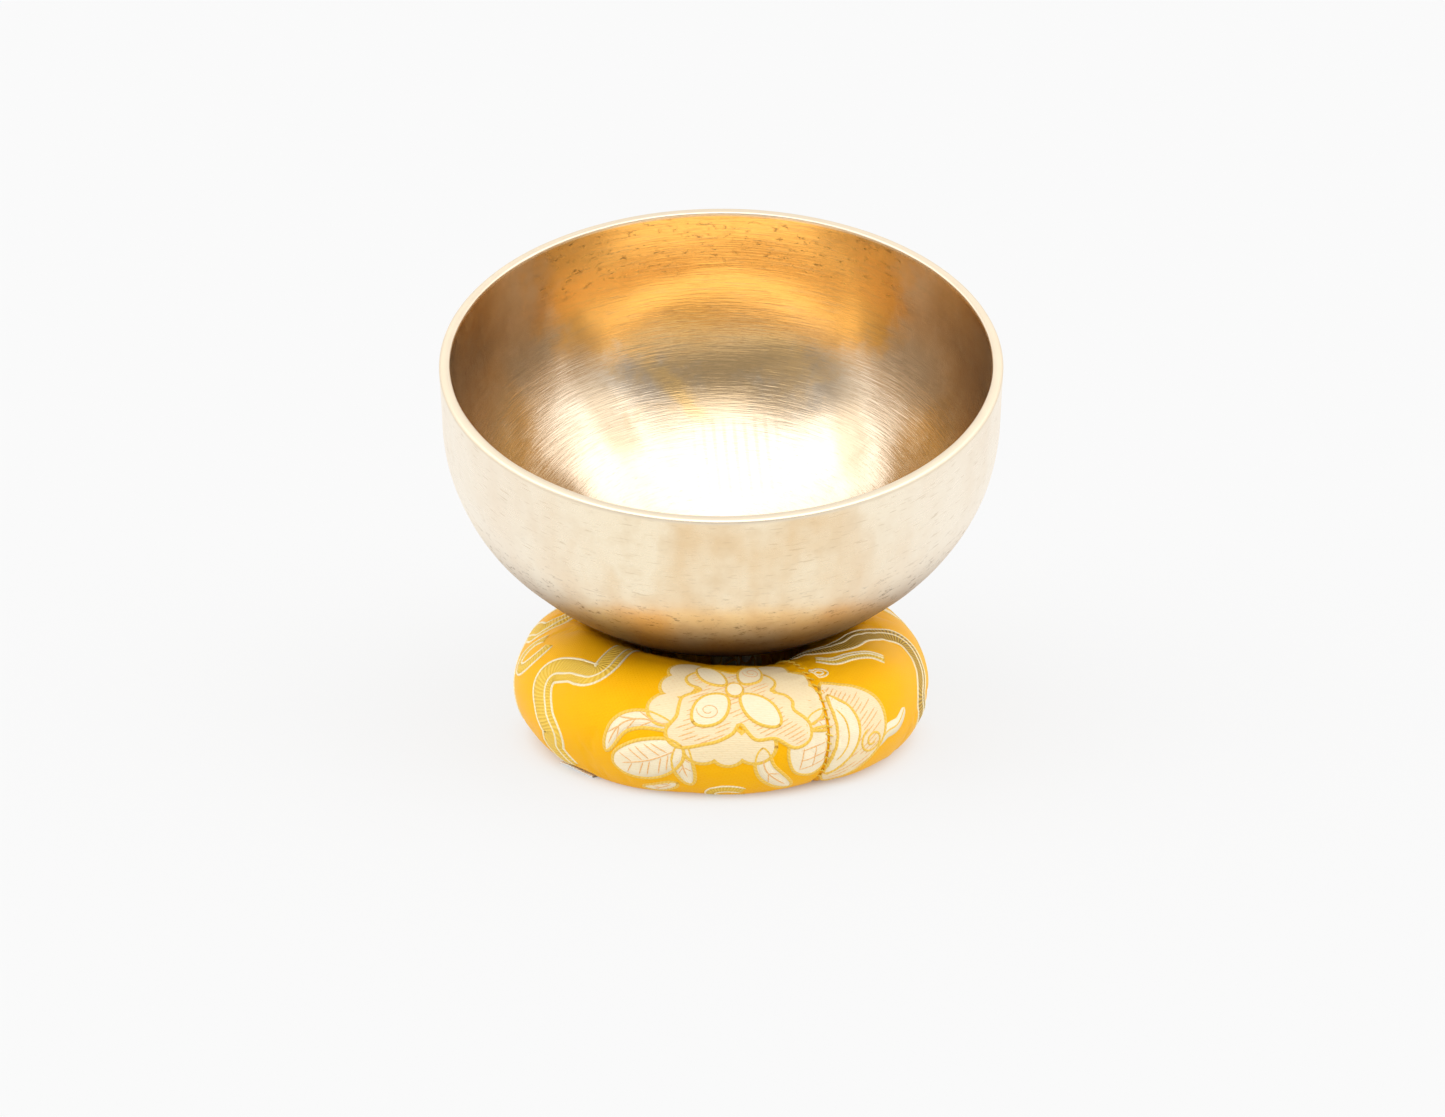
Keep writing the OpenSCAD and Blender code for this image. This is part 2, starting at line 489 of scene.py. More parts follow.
def bowl_section():
    """The wall's section from the bottom outside, over the rim, to the bottom inside.

    Returns its points and how many of them are outside.
    """
    turn_c = RIM_R - SHOULDER_R
    turn_z = BASE_R - sqrt((BASE_R - SHOULDER_R) ** 2 - turn_c**2)
    slope = degrees(atan2(turn_c, BASE_R - turn_z))
    mouth = RIM_R - WALL

    def wall(radius, low, high, count):
        return np.stack([np.full(count, radius), np.linspace(low, high, count)], 1)

    outside = [
        arc(0, BASE_R, BASE_R, 0, slope, 46),
        arc(turn_c, turn_z, SHOULDER_R, slope, 90, 22)[1:],
        wall(RIM_R, turn_z, BOWL_H - RIM_ROUND, 12)[1:],
        arc(RIM_R - RIM_ROUND, BOWL_H - RIM_ROUND, RIM_ROUND, 90, 180, 8)[1:],
    ]
    inside = [
        arc(mouth + RIM_CHAMFER, BOWL_H - RIM_CHAMFER, RIM_CHAMFER, 180, 270, 5),
        wall(mouth, BOWL_H - RIM_CHAMFER, turn_z, 12)[1:],
        arc(turn_c, turn_z, SHOULDER_R - WALL, 90, slope, 22)[1:],
        arc(0, BASE_R, BASE_R - WALL, slope, 0, 46)[1:],
    ]
    out, into = np.vstack(outside), np.vstack(inside)
    return np.vstack([out, into]), len(out)


def hammer_marks(p, is_inside):
    """Height of the worked surface over the true one, at a point of the upright bowl."""
    v = Vector(p)
    soft = noise.noise(v / 17.0)
    planish = noise.noise(v / 6.5 + Vector((7.0, 3.0, 5.0)))
    facet = noise.voronoi(v / 8.0)[0][0] - 0.4
    if is_inside:
        across = p[0] - ROW_X
        row = cos(2 * pi * (across + ROW_SLANT * p[1]) / ROW_PITCH)
        chatter = row * exp(-((across / 10.0) ** 2) - ((p[1] - ROW_Y) / 9.0) ** 2)
        return 0.42 * soft + 0.05 * planish + 0.03 * facet + 0.045 * chatter
    return 0.13 * soft + 0.05 * planish + 0.07 * facet


def leaned(points):
    """Points of the upright bowl, moved to its place on the cushion."""
    c, s = cos(radians(LEAN)), sin(radians(LEAN))
    x, y, z = (np.array(points) - (0, 0, BASE_R)).T
    return np.stack([x, y * c - z * s, y * s + z * c], 1) + BALL


def make_bowl():
    section, outside_count = bowl_section()
    normal = -to_left(directions(section))
    normal[0], normal[-1] = (0, -1), (0, 1)
    turns = [2 * pi * j / TURNS for j in range(TURNS)]
    points, side = [], []
    for i, (out, up) in enumerate(section):
        is_inside = i >= outside_count
        # The hammering fades towards the rim
        worked = 0.25 + 0.75 * min(1.0, max(0.0, (BOWL_H - up) / 7.0))
        for a in turns if 0 < i < len(section) - 1 else [0.0]:
            p = np.array([out * cos(a), out * sin(a), up])
            n = np.array([normal[i, 0] * cos(a), normal[i, 0] * sin(a), normal[i, 1]])
            points.append(p + n * hammer_marks(p, is_inside) * worked)
            side.append((float(is_inside), 0, 0))
    points = leaned(points)
    last = len(points) - 1
    top = last - TURNS
    faces = ring_faces(len(section) - 2, TURNS, 1)
    faces += [(0, 1 + (j + 1) % TURNS, 1 + j) for j in range(TURNS)]
    faces += [(last, top + j, top + (j + 1) % TURNS) for j in range(TURNS)]
    made = mesh_object("bowl_shell", points, faces, bronze_material())
    corner_values(made, "bowl_side", side)
    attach(made, "bowl")
    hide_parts("bowl")


# ---------------------------------------------------------------- the cushion's surface
def tube_outline(count=2400):
    """The oval section, from the crest outwards: arc length, offset out, height, normal's angle."""
    side_c = TUBE_A - SIDE_R
    crown_r = (side_c**2 + TUBE_B**2 - SIDE_R**2) / (2 * (TUBE_B - SIDE_R))
    crown_c = crown_r - TUBE_B
    limit = atan2(side_c, crown_c)
    n = np.linspace(-pi, pi, count + 1)
    top, bottom = np.abs(n) <= limit, np.abs(n) >= pi - limit
    crown = top | bottom
    out = np.where(crown, crown_r * np.sin(n), np.sign(n) * side_c + SIDE_R * np.sin(n))
    up = np.where(crown, crown_r * np.cos(n), SIDE_R * np.cos(n))
    up = up - np.where(top, crown_c, 0) + np.where(bottom, crown_c, 0)
    length = lengths(np.stack([out, up], 1))
    return length - length[count // 2], out, up, n


OUTLINE = tube_outline()
GIRTH = OUTLINE[0][-1] - OUTLINE[0][0]


def soft_max(a, b, width):
    """The larger of two values, with a rounded corner."""
    d = a - b
    return 0.5 * (a + b + np.sqrt(d * d + width * width))


def waves(angle, *terms):
    """A sum of cosine waves, each given as (size, count, phase)."""
    return sum(size * np.cos(count * angle + phase) for size, count, phase in terms)


def ring_points(turn, t):
    """Points of the cover for an angle round the ring and an arc length round the tube, as arrays."""
    t = (t + GIRTH / 2) % GIRTH - GIRTH / 2
    out, up, n = (np.interp(t, OUTLINE[0], values) for values in OUTLINE[1:])
    inner = np.clip(-np.sin(n), 0, 1) ** 1.5
    outer = np.clip(np.sin(n), 0, 1)

    # The stuffing lies a little unevenly, and the cloth gathers on the inner side of the ring
    lumps = waves(turn, (0.28, 3, 0.6), (0.22, 5, 2.1), (0.12, 8, 4.0)) * (0.5 + 0.5 * outer)
    lumps += 0.16 * np.cos(11 * turn + 2 * n) + 0.10 * np.cos(7 * turn - 3 * n + 1.0)
    gathers = waves(turn, (0.30, 29, 0.0), (0.22, 41, 1.3), (0.16, 57, 2.2))
    gathers = gathers * inner * (0.75 + 0.25 * np.cos(2 * turn + 1.0))
    # It bulges most at the crest and where its outer side turns under onto the table
    full = 0.7 * np.cos(n) ** 2 * (np.cos(n) > 0) + 1.3 * np.exp(-(((n - 2.62) / 0.45) ** 2))
    raised = lumps + gathers - 0.15 + full

    # The cross seam pulls the cloth in, with small puckers at its stitches
    away = (turn - SEAM_AT + pi) % (2 * pi) - pi
    away = away * (RING_R + out)
    crease = 0.75 * np.exp(-((away / 0.8) ** 2)) + 0.65 * np.exp(-((away / 5.5) ** 2))
    pucker = 0.22 * np.exp(-np.abs(away) / 3.0) * np.cos(2 * pi * t / 2.9 + 0.7 * np.sign(away))
    raised = raised - crease + pucker * (1 - np.exp(-((away / 0.9) ** 2)))

    # The long seam is a shallow crease under the inner side
    raised = raised - 0.45 * np.exp(-(((t + GIRTH / 2 - LONG_SEAM_T) / 1.3) ** 2))

    out = out + raised * np.sin(n)
    up = up + raised * np.cos(n)
    radius = RING_R + out
    return pressed(np.stack([radius * np.sin(turn), -radius * np.cos(turn), TUBE_Z + up], -1))


def pressed(p):
    """The points with the dent that the bowl presses, and the base flattened by the table."""
    from_ball = p - BALL
    distance = np.linalg.norm(from_ball, axis=-1)
    kept = soft_max(distance, np.full_like(distance, BASE_R + SEAT_GAP), 0.7)
    p = BALL + from_ball * (kept / distance)[..., None]
    floor = label_lift(p)
    p[..., 2] = floor + soft_max(p[..., 2] - floor, np.zeros_like(distance), 0.35) - 0.05
    p[..., 2] = np.maximum(p[..., 2], 0.0)
    return p


def label_lift(p):
    """How far the label under the cushion lifts its base."""
    along = p[..., 0] * sin(LABEL_AT) - p[..., 1] * cos(LABEL_AT)
    across = p[..., 0] * cos(LABEL_AT) + p[..., 1] * sin(LABEL_AT)
    inside = np.clip((LABEL_W / 2 + 0.9 - np.abs(across)) / 0.8, 0, 1)
    inside = inside * np.clip((along - LABEL_FROM + 1.0) / 0.8, 0, 1)
    return 0.66 * inside * inside * (3 - 2 * inside)


def around(count):
    """Angles round the ring."""
    return np.linspace(0, 2 * pi, count, endpoint=False)


def tube_way(count):
    """Arc lengths round the tube: from the bottom up its inner side, over the crest and down."""
    return np.linspace(-GIRTH / 2, GIRTH / 2, count, endpoint=False)


def surface_grid():
    return ring_points(*np.meshgrid(around(AROUND), tube_way(ACROSS), indexing="ij"))


def loose_object(name, points, faces):
    """A temporary object for the cloth pass, at that pass's scale."""
    mesh = bpy.data.meshes.new(name)
    mesh.from_pydata([tuple(p * SIM) for p in np.asarray(points, float)], [], faces)
    made = bpy.data.objects.new(name, mesh)
    bpy.context.scene.collection.objects.link(made)
    return made


def loose_bowl_base():
    """The part of the bowl that presses on the cushion."""
    points = []
    for out in np.linspace(0.5, 52, BASE_RINGS):
        up = BALL[2] - sqrt((BASE_R - 0.2) ** 2 - out**2)
        points += [(out * cos(a), BALL[1] + out * sin(a), up) for a in around(BASE_TURNS)]
    return loose_object("bowl_base", points, grid_faces(BASE_RINGS, BASE_TURNS, close_columns=True))


def loose_table():
    corners = [(-100, -100, -0.1), (100, -100, -0.1), (100, 100, -0.1), (-100, 100, -0.1)]
    return loose_object("table", corners, [(0, 1, 2, 3)])


def weight_group(made, name, weights):
    """Stores one weight per vertex."""
    group = made.vertex_groups.new(name=name)
    for k, weight in enumerate(weights.ravel()):
        if weight > 0.01:
            group.add([k], float(weight), "REPLACE")


def stuff(loose):
    """Runs Cloth on the loose cover: blown up by its stuffing, and gathered where it has slack."""
    cloth = loose.modifiers.new("cloth", "CLOTH")
    c = cloth.settings
    c.quality, c.mass, c.air_damping = 6, 0.25, 3.0
    c.tension_stiffness = c.compression_stiffness = 30.0
    c.shear_stiffness, c.bending_stiffness = 12.0, 0.5
    c.use_pressure, c.uniform_pressure_force = True, STUFFING
    c.vertex_group_mass, c.pin_stiffness = "held", 1.0
    c.vertex_group_shrink, c.shrink_min, c.shrink_max = "slack", 0.0, -0.07
    c.effector_weights.gravity = 0.0
    cloth.collision_settings.distance_min = 0.002
    cloth.point_cache.frame_end = SETTLE_FRAMES
    scene = bpy.context.scene
    for frame_number in range(1, SETTLE_FRAMES + 1):
        scene.frame_set(frame_number)
    settled = loose.evaluated_get(bpy.context.evaluated_depsgraph_get()).to_mesh()
    end = np.zeros(len(settled.vertices) * 3)
    settled.vertices.foreach_get("co", end)
    scene.frame_set(1)
    return end / SIM


def doubled(values, axis):
    """Values on a closed grid, with one more between each two along an axis."""
    between = (values + np.roll(values, -1, axis)) / 2
    shape = list(values.shape)
    shape[axis] *= 2
    return np.stack([values, between], axis + 1).reshape(shape)


def settle(points):
    """How far each point moves as the cover settles on its stuffing, between bowl and table."""
    start = points[::2, ::2]
    rows, columns = start.shape[:2]
    faces = grid_faces(rows, columns, True, True, flip=True)
    loose = loose_object("loose_cover", start.reshape(-1, 3), faces)
    press, table = loose_bowl_base(), loose_table()
    for made in (press, table):
        made.modifiers.new("collision", "COLLISION")
        made.collision.thickness_outer = 0.001

    # The cross seam and the base hold still, and the inner side has cloth to spare
    turn = around(rows)[:, None]
    n = np.interp(tube_way(columns)[None], OUTLINE[0], OUTLINE[3])
    away = np.abs((turn - SEAM_AT + pi) % (2 * pi) - pi) * RING_R
    held = np.maximum(np.clip(1.6 - away / 1.5, 0, 1), (start[..., 2] < 0.4) * 1.0)
    slack = np.clip(-np.sin(n), 0, 1) * np.ones_like(turn) + 0.35 * np.exp(-away / 5.0)
    weight_group(loose, "held", held)
    weight_group(loose, "slack", np.clip(slack, 0, 1))
    moved = stuff(loose).reshape(rows, columns, 3) - start
    for made in (loose, press, table):
        bpy.data.objects.remove(made, do_unlink=True)

    # Only the folds are wanted, not the swelling as a whole
    moved = (moved - moved.mean(axis=0, keepdims=True)) * (1 - np.clip(held, 0, 1))[..., None]
    size = np.linalg.norm(moved, axis=-1, keepdims=True)
    moved = moved * np.minimum(1.0, FOLD_LIMIT / np.maximum(size, 1e-9))
    return doubled(doubled(moved, 0), 1)


def grid_normals(p):
    a = np.roll(p, -1, 0) - np.roll(p, 1, 0)
    b = np.roll(p, -1, 1) - np.roll(p, 1, 1)
    n = np.cross(b, a)
    n /= np.linalg.norm(n, axis=-1)[..., None]
    middle = p.mean(axis=1, keepdims=True)
    return n * np.sign(((p - middle) * n).sum(-1).mean())


class Cloth:
    """The finished cover, for laying woven shapes and stitches on it."""

    def __init__(self, points):
        self.points = points
        self.normals = grid_normals(points)

    def lay(self, stu):
        """Points in the frame from an array of (s, t, height over the cloth)."""
        i = stu[:, 0] / CLOTH_R / (2 * pi) * AROUND
        j = (stu[:, 1] / GIRTH + 0.5) * ACROSS
        i0, j0 = np.floor(i).astype(int), np.floor(j).astype(int)
        fi, fj = (i - i0)[:, None], (j - j0)[:, None]
        i0, i1, j0, j1 = i0 % AROUND, (i0 + 1) % AROUND, j0 % ACROSS, (j0 + 1) % ACROSS

        def between(g):
            low = g[i0, j0] * (1 - fi) + g[i1, j0] * fi
            high = g[i0, j1] * (1 - fi) + g[i1, j1] * fi
            return low * (1 - fj) + high * fj

        return between(self.points) + between(self.normals) * stu[:, 2:3]


def make_cover(points, material):
    faces = grid_faces(AROUND, ACROSS, True, True, flip=True)
    made = mesh_object("cushion_brocade", points.reshape(-1, 3), faces, material)
    # Corners past the last row or column continue the numbers there, so that no face spans a jump
    mesh = made.data
    values = np.zeros((len(mesh.loops), 3), np.float32)
    number = np.zeros(len(mesh.loops), np.int32)
    mesh.loops.foreach_get("vertex_index", number)
    i, j = number // ACROSS, number % ACROSS
    face_first = np.repeat(number.reshape(-1, 4)[:, 3], 4)
    i = np.where((face_first // ACROSS == AROUND - 1) & (i == 0), AROUND, i)
    j = np.where((face_first % ACROSS == ACROSS - 1) & (j == 0), ACROSS, j)
    values[:, 0] = i / AROUND * 2 * pi * CLOTH_R
    values[:, 1] = (j / ACROSS - 0.5) * GIRTH
    mesh.attributes.new("cloth", "FLOAT_VECTOR", "CORNER").data.foreach_set("vector", values.ravel())
    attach(made, "cushion")
    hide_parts("cushion_cover")


# ---------------------------------------------------------------- woven shapes
class Weaving:
    """Collects shapes in cloth coordinates that share a material, and lays them on the cloth."""

    def __init__(self, name, material):
        self.name, self.material = name, material
        self.points, self.faces, self.values = [], [], []

    def add(self, stu, faces, values):
        first = len(self.points)
        self.points += [tuple(p) for p in stu]
        self.values += [tuple(v) for v in values]
        self.faces += [tuple(first + k for k in f) for f in outwards(np.asarray(stu), faces)]

    def make(self, cloth):
        stu = np.array(self.points)
        gone = {k for k, f in enumerate(self.faces) if self.flat(stu[list(f)])}
        faces = [f for k, f in enumerate(self.faces) if k not in gone]
        used = sorted({k for f in faces for k in f})
        order = {k: i for i, k in enumerate(used)}
        faces = [tuple(order[k] for k in f) for f in faces]
        made = mesh_object(self.name, cloth.lay(stu[used]), faces, self.material)
        corner_values(made, "cloth", np.array(self.values)[used])
        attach(made, "cushion")

    @staticmethod
    def flat(corners):
        """Is the face without area, as where the cross seam cuts a shape off?"""
        d = corners[1:] - corners[0]
        area = sum(np.linalg.norm(np.cross(d[k], d[k + 1])) for k in range(len(d) - 1))
        return area < 1e-4


def outwards(stu, faces):
    """The faces of one shape, turned over together if they look into the cloth."""
    area = 0.0
    for f in faces:
        x, y = stu[list(f), 0], stu[list(f), 1]
        area += float(x @ np.roll(y, -1) - y @ np.roll(x, -1))
    return [f[::-1] for f in faces] if area > 0 else faces


class Motif:
    """A group of shapes with its own place and turn on the cloth, cut off at the cross seam."""

    def __init__(self, s, t, turn=0.0, scale=1.0, flip=1, low=None, high=None):
        self.at, self.angle, self.scale, self.flip = (s, t), radians(turn), scale, flip
        self.low, self.high = low, high

    def place(self, xy):
        xy = np.asarray(xy, float) * self.scale * np.array([self.flip, 1.0])
        c, s = cos(self.angle), sin(self.angle)
        p = np.stack([xy[:, 0] * c - xy[:, 1] * s, xy[:, 0] * s + xy[:, 1] * c], 1) + self.at
        if self.low is not None:
            p[:, 0] = np.maximum(p[:, 0], self.low)
        if self.high is not None:
            p[:, 0] = np.minimum(p[:, 0], self.high)
        return p

    def fill(self, weaving, outline, height, centre=None):
        """A patch inside an outline that its centre sees all of, with a rounded edge."""
        outline = np.asarray(outline, float)
        centre = outline.mean(0) if centre is None else np.array(centre, float)
        reach = np.linalg.norm(outline - centre, axis=1).max() * self.scale
        shares = np.linspace(0, 1, max(3, int(reach / 0.8) + 1))[1:]
        edge = 1 - 0.12 / max(reach, 0.6)
        rings = [(q * edge, 1.0) for q in shares] + [(edge, 1.0), (1.0, 0.55), (1.0, -0.6)]
        count = len(outline)
        flat, up = [centre[None]], [height]
        for share, lift in rings:
            flat.append(centre + (outline - centre) * share)
            up += [height * lift] * count
        flat = np.vstack(flat)
        placed = self.place(flat)
        stu = np.column_stack([placed, up])
        faces = [(0, 1 + (k + 1) % count, 1 + k) for k in range(count)]
        faces += ring_faces(len(rings), count, 1)
        weaving.add(stu, faces, np.column_stack([flat, np.zeros(len(flat))]))

    def strip(self, weaving, line, left, right, height, cells=1):
        """A flat band along a line, between two offsets from it, which may change along it."""
        line = np.asarray(line, float)
        run = lengths(line)
        left = np.broadcast_to(left, len(line))
        right = np.broadcast_to(right, len(line))
        a, b = beside(line, left), beside(line, right)
        shares = [0.0, *np.linspace(0, 1, cells + 1), 1.0]
        lifts = [-0.6, *[1.0] * (cells + 1), -0.6]
        flat, up, values = [], [], []
        for k in range(len(line)):
            for share, lift in zip(shares, lifts):
                flat.append(a[k] + (b[k] - a[k]) * share)
                up.append(height * lift)
                values.append((run[k], left[k] + (right[k] - left[k]) * share, 0))
        placed = self.place(flat)
        weaving.add(np.column_stack([placed, up]), grid_faces(len(line), len(shares)), values)

    def cord(self, weaving, line, width, height, closed=False):
        """A raised thread along a line, rounded over and tucked into the cloth at its ends."""
        line = np.asarray(line, float)
        if closed:
            line = np.vstack([line, line[:2]])
        across, run = to_left(directions(line)), lengths(line)
        if closed:
            across[0] = across[-2]
            across[-1] = across[1]
        shape = ((-0.5, -0.5), (-0.42, 0.55), (-0.16, 1.0), (0.16, 1.0), (0.42, 0.55), (0.5, -0.5))
        flat, up, values = [], [], []
        last = len(line) - 1
        for k in range(len(line)):
            end = 1.0 if closed else min(1.0, 0.35 + 1.2 * min(k, last - k) / 3)
            for offset, lift in shape:
                flat.append(line[k] + across[k] * offset * width * end)
                up.append(height * lift * (end if lift > 0 else 1.0))
                values.append((run[k], offset * width, 0))
        placed = self.place(flat)
        weaving.add(np.column_stack([placed, up]), grid_faces(len(line), len(shape)), values)


def oval(cx, cy, half_l, half_w, turn=0.0, point=0.0, count=40):
    """An ellipse, or with point above 0 a petal that narrows to both ends."""
    a = np.linspace(0, 2 * pi, count, endpoint=False)
    x, y = half_l * np.cos(a), half_w * np.sin(a) * (1 - point * np.cos(a) ** 2)
    c, s = cos(radians(turn)), sin(radians(turn))
    return np.stack([cx + x * c - y * s, cy + x * s + y * c], 1)


def beside(line, offset):
    """A line at an offset from another, which doesn't fold over on the inside of a tight bend."""
    ahead = directions(line)
    size = np.maximum(np.linalg.norm(np.gradient(line, axis=0), axis=1), 1e-9)
    turn = np.gradient(ahead, axis=0)
    bend = (ahead[:, 0] * turn[:, 1] - ahead[:, 1] * turn[:, 0]) / size
    bend = np.convolve(np.pad(bend, 3, mode="edge"), np.ones(7) / 7, mode="valid")
    offset = np.broadcast_to(offset, len(line))
    limit = 0.85 / np.maximum(np.abs(bend), 1e-6)
    kept = np.where(offset * bend > 0, np.sign(offset) * np.minimum(np.abs(offset), limit), offset)
    return line + to_left(ahead) * kept[:, None]


def leaf_sides(line, half_w, tip=0.6):
    """The two edges of a leaf along its midrib."""
    u = np.linspace(0, 1, len(line))
    w = half_w * np.sin(pi * np.clip(u, 0.0, 1.0)) ** tip
    return -w, w


# ---------------------------------------------------------------- the brocade's motifs
def leaf(m, w, points, half_w, veins=5, layer=0):
    """A cream leaf with a gold edge, a midrib and slanting veins."""
    height = 0.08 + LAYER * layer
    line = smooth_line(points, step=0.7)
    low, high = leaf_sides(line, half_w)
    edge = np.vstack([beside(line, high), beside(line, low)[::-1][1:-1]])
    edge = smooth_line(edge[:: max(1, len(edge) // 18)], closed=True, step=0.6)
    m.strip(w["cream"], line, low, high, height, cells=max(2, int(half_w)))
    m.cord(w["outline"], edge, 0.85, height + 0.10, closed=True)
    inner = slice(2, len(line) - 3)
    m.cord(w["vein"], line[inner], 0.42, height + 0.07)
    across = to_left(directions(line))
    last = len(line) - 1
    for k in range(1, veins + 1):
        i = int(last * (0.12 + 0.68 * k / (veins + 1)))
        j = min(last, i + max(2, int(last * 0.16)))
        for sign in (-1, 1):
            end = line[j] + across[j] * high[j] * sign * 0.82
            m.cord(w["vein"], smooth_line([line[i], end], step=0.6), 0.38, height + 0.07)


def hatch(m, w, outline, turn, pitch, height, keep=0.88):
    """Short slanting threads across the inside of an outline."""
    outline = np.asarray(outline)
    c, s = cos(radians(turn)), sin(radians(turn))
    way, off = np.array([c, s]), np.array([-s, c])
    reach = np.abs(outline @ off).max()
    for k, h in enumerate(np.arange(-reach + pitch, reach, pitch)):
        d = outline @ off - h
        cuts = []
        for i in range(len(outline)):
            j = (i + 1) % len(outline)
            if d[i] * d[j] < 0:
                p = outline[i] + (outline[j] - outline[i]) * d[i] / (d[i] - d[j])
                cuts.append(float(p @ way))
        cuts.sort()
        for a, b in zip(cuts[::2], cuts[1::2]):
            middle, half = (a + b) / 2, (b - a) / 2 * keep
            if half < 0.8:
                continue
            # Each row is broken into a few floats of uneven length
            pieces = max(1, int(half / 2.8))
            for q in range(pieces):
                shift = 0.22 * sin(2.4 * k + 1.3 * q) if pieces > 1 else 0.0
                start = middle - half + 2 * half * max(0.0, q + 0.06 + shift) / pieces
                end = middle - half + 2 * half * min(pieces, q + 0.86 + shift) / pieces
                ends = [way * start + off * h, way * end + off * h]
                m.cord(w["vein"], smooth_line(ends), 0.44, height)


def petal(m, w, distance, turn, half_l, half_w):
    a = radians(turn)
    shape = oval(distance * cos(a), distance * sin(a), half_l, half_w, turn, 0.22)
    m.fill(w["cream"], shape, 0.10 + 3 * LAYER)
    m.cord(w["outline"], shape, 0.95, 0.20 + 3 * LAYER, closed=True)


def flower(m, w):
    """A four-petalled flower on a lobed, hatched ground, with round lobes behind it."""
    for x, y, half_l, half_w in (
        (11.5, -7, 4.6, 3.6), (14.2, -1.6, 4.9, 4.2), (15.6, 4.6, 4.8, 5.0), (-13.4, -1.2, 4.2, 3.8),
        (-14.8, 5.6, 3.6, 3.6), (-13, -7, 4.6, 3.6), (-6.5, 13.6, 3.7, 3.8), (-1.4, 13.8, 3.5, 4.2),
        (4, 13.6, 3.8, 3.8),
    ):
        shape = oval(x, y, half_l, half_w)
        m.fill(w["ecru"], shape, 0.16)
        m.cord(w["outline"], oval(x, y, half_l + 0.3, half_w + 0.3), 1.1, 0.12, closed=True)
        out = np.array([x, y]) / hypot(x, y)
        side = np.array([-out[1], out[0]])
        for offset in (-0.9, 0.9):
            near = np.array([x, y]) + side * offset
            m.cord(w["vein"], smooth_line([near + out * 0.5, near + out * 2.6]), 0.36, 0.21)
    ground = smooth_line(
        [(8.5, -5.5), (10.5, -3), (10, -1), (8.5, 0.5), (11.5, 2), (12.8, 4), (12.5, 6), (15, 8.5),
         (16, 10.5), (15.3, 13.3), (12, 14.5), (8, 12), (4, 12), (1, 8.5), (-0.5, 10.5), (-3.5, 12.3),
         (-6, 13), (-10.5, 14), (-13, 13), (-14, 10.5), (-12.2, 7.5), (-12, 5.5), (-11.5, 2.5),
         (-7.8, 0.3), (-11, -1.5), (-12, -4), (-9, -6.5), (-4, -7), (0, -6), (4, -7)],
        closed=True,
    )
    m.fill(w["ecru"], ground, 0.10 + LAYER, centre=(0, 4))
    hatch(m, w, ground, -24, 0.95, 0.16 + LAYER)
    m.cord(w["outline"], ground, 1.0, 0.22 + LAYER, closed=True)
    petal(m, w, 7.5, 45, 5.3, 2.9)
    petal(m, w, 7.3, 135, 4.6, 3.4)
    petal(m, w, 7.5, 218, 4.9, 2.5)
    petal(m, w, 7.2, 310, 4.4, 3.1)
    for turn in (135, 310):
        a = np.linspace(0, 3.2 * pi, 36)
        middle = 7.9 * np.array([cos(radians(turn)), sin(radians(turn))])
        r = 0.4 + 0.17 * a
        curl = middle + np.stack([r * 1.25 * np.cos(a), r * 0.95 * np.sin(a)], 1)
        m.cord(w["vein"], curl, 0.38, 0.17 + 3 * LAYER)
    button = oval(0, 0, 1.9, 1.9)
    m.fill(w["cream"], button, 0.12 + 4 * LAYER)
    m.cord(w["outline"], button, 0.8, 0.20 + 4 * LAYER, closed=True)


def leaf_spray(m, w):
    """The leaves under and beside a flower, in the flower's own coordinates."""
    leaf(m, w, [(-12, 10), (-19, 8.8), (-24, 11), (-27, 17.5)], 2.0, veins=3)
    leaf(m, w, [(-10.5, 13), (-10.5, 18), (-9, 24)], 2.1, veins=2)
    leaf(m, w, [(-10.5, 14), (-17, 17.5), (-25.5, 20)], 4.7, veins=5, layer=1)
    leaf(m, w, [(-12, 24), (-16, 26), (-20, 26.5)], 1.7, veins=2)
    leaf(m, w, [(5.5, 14), (6.5, 20), (12.5, 26)], 2.1, veins=1)
    checked_leaf(m, w)
    leaf(m, w, [(15, 10), (19, 9.5), (24, 11)], 2.6, veins=2)


def checked_leaf(m, w):
    """A rounded leaf with small squares woven in."""
    corners = [(11, 14), (17, 11), (22, 13), (22.5, 19), (18, 23), (12.5, 21)]
    shape = smooth_line(corners, closed=True)
    m.fill(w["cream"], shape, 0.08)
    m.cord(w["outline"], shape, 0.8, 0.18, closed=True)
    for x in (14.2, 17.2, 20.2):
        m.cord(w["vein"], smooth_line([(x, 14.8), (x - 0.6, 21.0)]), 0.38, 0.15)
    for y in (15.6, 18.2, 20.6):
        m.cord(w["vein"], smooth_line([(13.4, y), (21, y - 0.7)]), 0.38, 0.15)


def cloud_band(w, points, width=7.0, ribs="ribs"):
    """A ribbed gold band between cream lines, winding like a cloud's edge."""
    m = Motif(0, 0)
    line = smooth_line(points, step=0.6)
    half = width / 2
    m.strip(w[ribs], line, -half, half, 0.10, cells=5)
    for offset in (-half, -half * 0.3, half):
        m.cord(w["line"], beside(line, offset), 0.7, 0.22)


